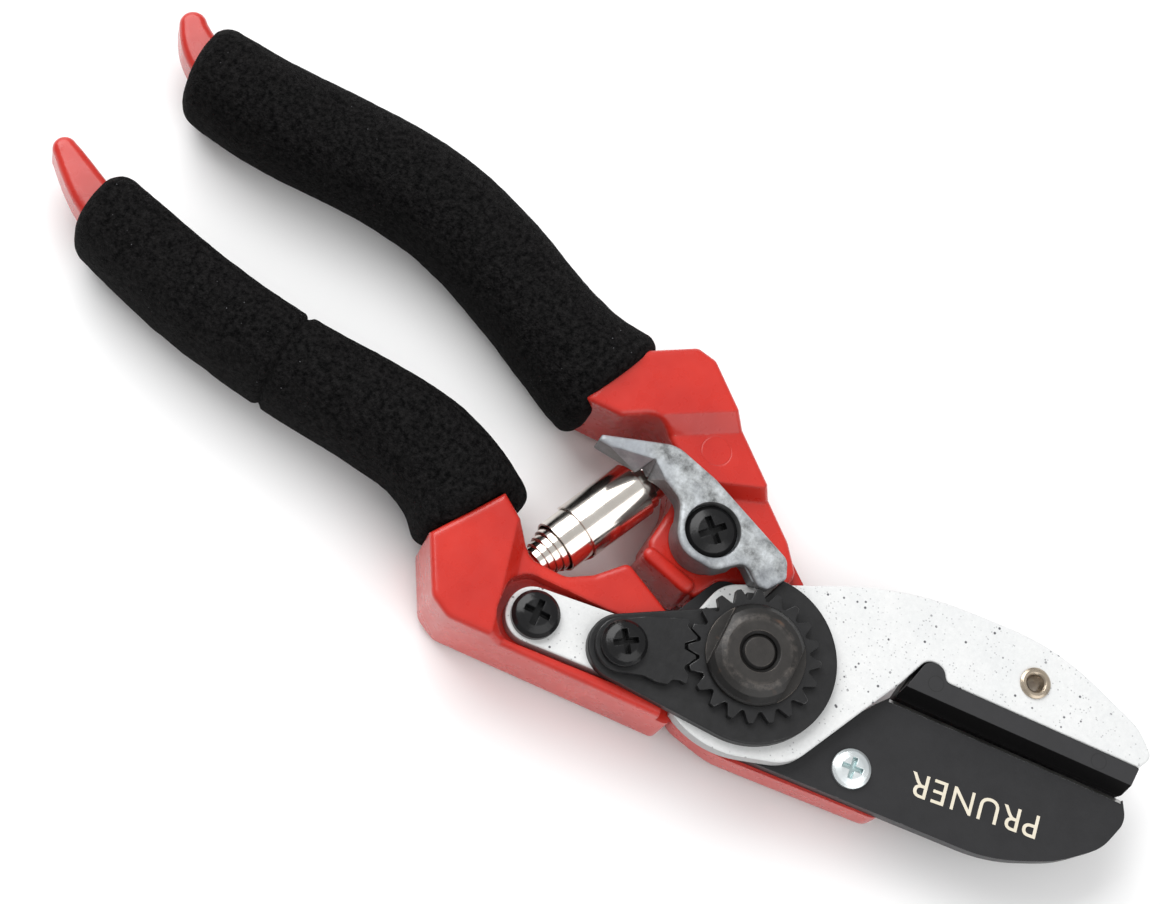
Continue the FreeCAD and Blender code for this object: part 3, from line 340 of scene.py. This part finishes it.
FINISHES = {
    "red_casting": red_paint(),
    "foam": foam(),
    "white_plate": white_plate(),
    "anvil_plastic": anvil_plastic(),
    "rivet_brass": bright_metal("rivet_metal", (0.62, 0.53, 0.42), (0.42, 0.35, 0.27),
                                0.28).material,
    "dark_steel": dark_metal("dark_steel", (0.007, 0.007, 0.0073), (0.025, 0.025, 0.026), 0.42,
                             (0.20, 0.20, 0.20), (0.55, 0.65)).material,
    "nut_steel": nut_metal(),
    "bush_brass": bright_metal("bush_metal", (0.70, 0.58, 0.34), (0.50, 0.42, 0.25), 0.3).material,
    "zinc": zinc(),
    "black_screw": dark_metal("black_screw", (0.006, 0.006, 0.0065), (0.012, 0.012, 0.0125), 0.2,
                              (0.12, 0.12, 0.12), (0.6, 0.7)).material,
    "die_cast": die_cast(),
    "spring_nickel": bright_metal("nickel", (0.86, 0.81, 0.75), (0.78, 0.72, 0.66), 0.15,
                                  0.006).material,
    "blade_coat": blade_coat(),
    "print_ink": print_ink(),
}

slot_of = {s["node"]: s["material_slot"] for s in frame["record"]["subparts"]}
for name, node in frame["nodes"].items():
    node.data.materials.clear()
    node.data.materials.append(FINISHES[slot_of[name]])


# ------------------------------------------------------------------- pieces

def mesh_piece(name, points, faces, body, finish):
    mesh = bpy.data.meshes.new(name)
    mesh.from_pydata([tuple(p) for p in points], [], faces)
    mesh.validate()
    mesh.polygons.foreach_set("use_smooth", [True] * len(mesh.polygons))
    mesh.materials.append(FINISHES[finish])
    piece = bpy.data.objects.new(name, mesh)
    bpy.context.scene.collection.objects.link(piece)
    if body:
        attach(piece, body)
    return piece


def through(stations, count):
    """Even steps along a smooth curve through rows of numbers."""
    rows = np.array(stations, float)
    rows = np.vstack([2 * rows[0] - rows[1], rows, 2 * rows[-1] - rows[-2]])
    out = []
    spans = len(stations) - 1
    for u in np.linspace(0, spans, count):
        i = min(int(u), spans - 1)
        t = u - i
        a, b, c, d = rows[i], rows[i + 1], rows[i + 2], rows[i + 3]
        out.append(0.5 * (2 * b + (c - a) * t + (2 * a - 5 * b + 4 * c - d) * t ** 2
                          + (3 * b - 3 * c + d - a) * t ** 3))
    return np.array(out)


def smooth(value, low, high):
    t = min(max((value - low) / (high - low), 0), 1)
    return t * t * (3 - 2 * t)


LOWER_GRIP = [
    (-133.6, 5.4, 7.2), (-123.0, 3.6, 7.7), (-110.0, 1.7, 8.0), (-98.0, 1.0, 8.2),
    (-86.0, 1.2, 8.5), (-75.0, 1.9, 8.9), (-65.0, 1.6, 9.0), (-57.6, -1.0, 8.8),
    (-52.0, -5.0, 8.7),
]
UPPER_GRIP = [
    (-134.0, 37.6, 8.0), (-122.0, 37.4, 8.8), (-110.0, 38.7, 9.1), (-100.0, 40.0, 9.1),
    (-91.0, 40.5, 9.1), (-82.0, 39.8, 9.1), (-73.0, 37.7, 9.1), (-65.0, 35.0, 9.1),
    (-57.0, 32.3, 9.1), (-50.0, 30.6, 9.2), (-43.5, 29.9, 9.5),
]
GRIP_HALF_HEIGHT = 10.1
GRIP_ROWS, GRIP_AROUND = 210, 72
GRIP_POWER = 2 / 2.35
REAR_ROUND, MOUTH_ROUND = 3.6, 3.0
MOUTH_SWELL = 0.55
# Over what length the shapes at a sleeve's ends fade out.
END_FADE, LIP_FADE = 9.0, 7.0
CREASE_DEPTH, CREASE_WIDTH = 0.8, 0.5
LOWER_CREASE = -92.5
REAR_TURN = math.tan(math.radians(5.0))
LOWER_FRONT_TURN = math.tan(math.radians(10.0))
UPPER_FRONT_TURN = math.tan(math.radians(-13.0))
# How far the foam's mouth spreads and reaches forward on its right and left side.
LOWER_SPREAD = (0.0, 1.9)
UPPER_SPREAD = (1.5, 0.7)
LOWER_LIP = (0.0, 3.0)
UPPER_LIP = (1.6, 0.0)


def fade(distance, length):
    return math.exp(-(distance / length) ** 2)


def grip(name, stations, body, node, far_turn, spread, lip, seed, crease=None):
    """Foam sleeve: a rounded band with soft ends, swollen towards the jaws."""
    count, around = GRIP_ROWS, GRIP_AROUND
    rows = through(stations, count)
    centre, half = rows[:, :2], rows[:, 2]
    tangent = np.gradient(centre, axis=0)
    steps = np.linalg.norm(np.diff(centre, axis=0), axis=1)
    run = np.concatenate([[0], np.cumsum(steps)])
    total = run[-1]
    tangent /= np.linalg.norm(tangent, axis=1)[:, None]
    points, faces = [], []
    for i in range(count):
        near, far = run[i], total - run[i]
        inset = 0.0
        for distance, corner in ((near, REAR_ROUND), (far, MOUTH_ROUND)):
            if distance < corner:
                inset += corner - math.sqrt(corner ** 2 - (corner - distance) ** 2)
        swell = MOUTH_SWELL * fade(far, END_FADE)
        if crease is not None:
            swell -= CREASE_DEPTH * fade(centre[i, 0] - crease, CREASE_WIDTH)
        turn = REAR_TURN * fade(near, END_FADE) + far_turn * fade(far, END_FADE)
        wide = half[i] + swell - inset
        high = GRIP_HALF_HEIGHT + (swell if swell < 0 else swell * 0.2) - inset
        for j in range(around):
            angle = 2 * math.pi * j / around
            c, s = math.cos(angle), math.sin(angle)
            flare = spread[c > 0] * fade(far, END_FADE)
            across = math.copysign(abs(c) ** GRIP_POWER, c) * (wide + flare)
            up = math.copysign(abs(s) ** GRIP_POWER, s) * high
            reach = lip[c > 0] * smooth(abs(c), 0.55, 1.0) * fade(far, LIP_FADE)
            slip = reach - across * turn
            x = centre[i, 0] - tangent[i, 1] * across + tangent[i, 0] * slip
            y = centre[i, 1] + tangent[i, 0] * across + tangent[i, 1] * slip
            z = GRIP_HALF_HEIGHT + up
            where = Vector((x, y, z))
            lump = 0.16 * noise.noise(where * 0.16 + Vector((seed, 0, 0)))
            lump += 0.07 * noise.noise(where * 0.7 + Vector((0, seed, 0)))
            keep = 1.0 if z > 0.6 else 0.0
            points.append((x - tangent[i, 1] * c * lump, y + tangent[i, 0] * c * lump,
                           max(z + s * lump * keep, 0.0)))
    for i in range(count - 1):
        for j in range(around):
            k = (j + 1) % around
            faces.append((i * around + j, i * around + k,
                          (i + 1) * around + k, (i + 1) * around + j))
    for ring, order in ((0, 1), (count - 1, -1)):
        ids = [ring * around + j for j in range(around)]
        middle = np.mean([points[j] for j in ids], axis=0)
        points.append(tuple(middle))
        tip = len(points) - 1
        for j in range(around):
            face = (tip, ids[(j + 1) % around], ids[j])
            faces.append(face[::order])
    piece = mesh_piece(name, np.array(points) * MM, faces, body, "foam")
    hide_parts(node)
    return piece


grip("lower_foam", LOWER_GRIP, "anvil_side", "lower_grip", LOWER_FRONT_TURN, LOWER_SPREAD,
     LOWER_LIP, 3.0, crease=LOWER_CREASE)
grip("upper_foam", UPPER_GRIP, "blade_side", "upper_grip", UPPER_FRONT_TURN, UPPER_SPREAD,
     UPPER_LIP, 11.0)


# Volute spring: one strip. Each pass of a full turn has a radius and a span
# along the axis; it changes to the next pass on the spring's hidden side.
PASSES = [
    (2.75, 0.15, 8.0), (3.15, 1.3, 9.0), (3.55, 2.5, 10.0), (4.0, 3.7, 12.0),
    (4.72, 4.9, 14.5), (5.15, 9.4, 22.3), (4.6, 16.5, 24.0), (3.9, 18.5, 26.2),
    (3.3, 20.0, 28.3),
]
OUTERMOST = 5
STRIP = 0.3
SPRING_START = (-38.8, -4.6, 9.6)
SPRING_HEADING = 70.2
SPRING_STEPS = 72
# Share of a turn over which radius, low end and high end change.
INNER_CHANGE = ((0.80, 1.0), (0.80, 1.0), (0.80, 1.0))
OUTER_CHANGE = ((0.62, 0.78), (0.50, 0.66), (0.50, 0.66))


def volute_spring():
    start = Vector(SPRING_START)
    heading = math.radians(SPRING_HEADING)
    axis = Vector((math.cos(heading), math.sin(heading), 0))
    side = Vector((-axis.y, axis.x, 0))
    up = Vector((0, 0, 1))
    points, faces = [], []
    total = len(PASSES) * SPRING_STEPS
    for n in range(total):
        turn, share = divmod(n / SPRING_STEPS, 1.0)
        turn = int(turn)
        now = PASSES[turn]
        after = PASSES[min(turn + 1, len(PASSES) - 1)]
        spans = INNER_CHANGE if turn < OUTERMOST else OUTER_CHANGE
        radius, low, high = (
            a + (b - a) * smooth(share, *span) for a, b, span in zip(now, after, spans))
        angle = 2 * math.pi * (share - 0.25)
        out = up * math.cos(angle) + side * math.sin(angle)
        for reach, along in ((radius - STRIP, low), (radius, low), (radius, high),
                             (radius - STRIP, high)):
            points.append(tuple((start + axis * along + out * reach) * MM))
    for n in range(total - 1):
        for j in range(4):
            k = (j + 1) % 4
            faces.append((4 * n + j, 4 * n + 4 + j, 4 * n + 4 + k, 4 * n + k))
    faces += [(0, 1, 2, 3), (4 * total - 1, 4 * total - 2, 4 * total - 3, 4 * total - 4)]
    piece = mesh_piece("spring_strip", points, faces, None, "spring_nickel")
    mesh = piece.data
    mark = mesh.attributes.new("sharp_edge", "BOOLEAN", "EDGE")
    flags = []
    for edge in mesh.edges:
        a, b = sorted(edge.vertices)
        flags.append(b - a == 4)
    mark.data.foreach_set("value", flags)
    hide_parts("volute_spring")
    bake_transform(piece)
    return piece


volute_spring()


PRINT_FROM = (56.0, 6.2)
PRINT_TO = (33.5, 0.6)
PRINT_HEIGHT = 12.42


def blade_print():
    """Small plain word on the blade, in the flat letters of a print."""
    curve = bpy.data.curves.new("word", "FONT")
    curve.body = "PRUNER"
    curve.size = 8.0 * MM
    curve.space_character = 1.1
    source = bpy.data.objects.new("word", curve)
    flat = bpy.data.meshes.new_from_object(source)
    points = [tuple(v.co) for v in flat.vertices]
    faces = [tuple(p.vertices) for p in flat.polygons]
    bpy.data.objects.remove(source)
    start, finish = Vector(PRINT_FROM), Vector(PRINT_TO)
    heading = (finish - start).normalized()
    rise = Vector((-heading.y, heading.x))
    low = min(p[0] for p in points)
    span = max(p[0] for p in points) - low
    scale = (finish - start).length * MM / span
    placed = []
    for x, y, _ in points:
        spot = start * MM + heading * (x - low) * scale + rise * y * scale
        placed.append((spot.x, spot.y, PRINT_HEIGHT * MM))
    return mesh_piece("blade_print", placed, faces, "blade_side", "print_ink")


blade_print()


# -------------------------------------------------------------------- stage

FLOOR_HALF = 3
FLOOR_LEVEL = -0.0002
WORLD_STRENGTH = 0.60
LIGHTS_AIM = (-0.04, 0.015, 0)
CAMERA_PLACE = (-0.047029, -0.143229, 0.423107)

floor_mesh = bpy.data.meshes.new("floor")
floor_corners = [(-FLOOR_HALF, -FLOOR_HALF), (FLOOR_HALF, -FLOOR_HALF),
                 (FLOOR_HALF, FLOOR_HALF), (-FLOOR_HALF, FLOOR_HALF)]
floor_mesh.from_pydata([(x, y, FLOOR_LEVEL) for x, y in floor_corners], [], [(0, 1, 2, 3)])
floor = bpy.data.objects.new("floor", floor_mesh)
bpy.context.scene.collection.objects.link(floor)
floor_look = Shader("floor_look")
floor_tone = floor_look.mix(floor_look.noise(3, 1), (0.92, 0.92, 0.92), (0.94, 0.94, 0.94))
floor_look.set(Base_Color=floor_tone, Roughness=0.9, Specular_IOR_Level=0.1)
floor_mesh.materials.append(floor_look.material)

world = bpy.data.worlds.new("studio")
bpy.context.scene.world = world
world.use_nodes = True
tree = world.node_tree
tree.nodes.clear()
out = tree.nodes.new("ShaderNodeOutputWorld")
back = tree.nodes.new("ShaderNodeBackground")
coord = tree.nodes.new("ShaderNodeTexCoord")
split = tree.nodes.new("ShaderNodeSeparateXYZ")
ramp = tree.nodes.new("ShaderNodeValToRGB")
tree.links.new(coord.outputs["Generated"], split.inputs[0])
tree.links.new(split.outputs[2], ramp.inputs[0])
tree.links.new(ramp.outputs[0], back.inputs[0])
tree.links.new(back.outputs[0], out.inputs[0])
ramp.color_ramp.elements[0].position = 0.05
ramp.color_ramp.elements[0].color = (0.55, 0.55, 0.56, 1)
ramp.color_ramp.elements[1].position = 0.9
ramp.color_ramp.elements[1].color = (1.0, 1.0, 1.0, 1)
back.inputs[1].default_value = WORLD_STRENGTH


def area(name, where, size, power):
    light = bpy.data.lights.new(name, "AREA")
    light.shape = "RECTANGLE"
    light.size, light.size_y = size
    light.energy = power
    lamp = bpy.data.objects.new(name, light)
    lamp.location = where
    lamp.rotation_mode = "QUATERNION"
    lamp.rotation_quaternion = (Vector(LIGHTS_AIM) - Vector(where)).to_track_quat("-Z", "Y")
    bpy.context.scene.collection.objects.link(lamp)
    return lamp


area("key", (-0.72, 0.42, 0.78), (0.95, 0.95), 13.0)
area("fill", (0.55, -0.25, 0.6), (0.9, 0.9), 3.8)

# Camera: where it stands and how it is turned.
camera_data = bpy.data.cameras.new("camera")
camera_data.sensor_width = 36.0
camera_data.lens = 80.69
camera_data.clip_start, camera_data.clip_end = 0.01, 10
camera = bpy.data.objects.new("camera", camera_data)
right = Vector((0.836435, 0.507929, 0.205876))
down = Vector((0.547969, -0.782143, -0.296620))
ahead = Vector((0.010363, 0.360917, -0.932540))
turn = Matrix((right, -down, -ahead)).transposed().to_4x4()
camera.matrix_world = Matrix.Translation(CAMERA_PLACE) @ turn
bpy.context.scene.collection.objects.link(camera)
bpy.context.scene.camera = camera
bpy.context.scene.view_settings.view_transform = "Standard"
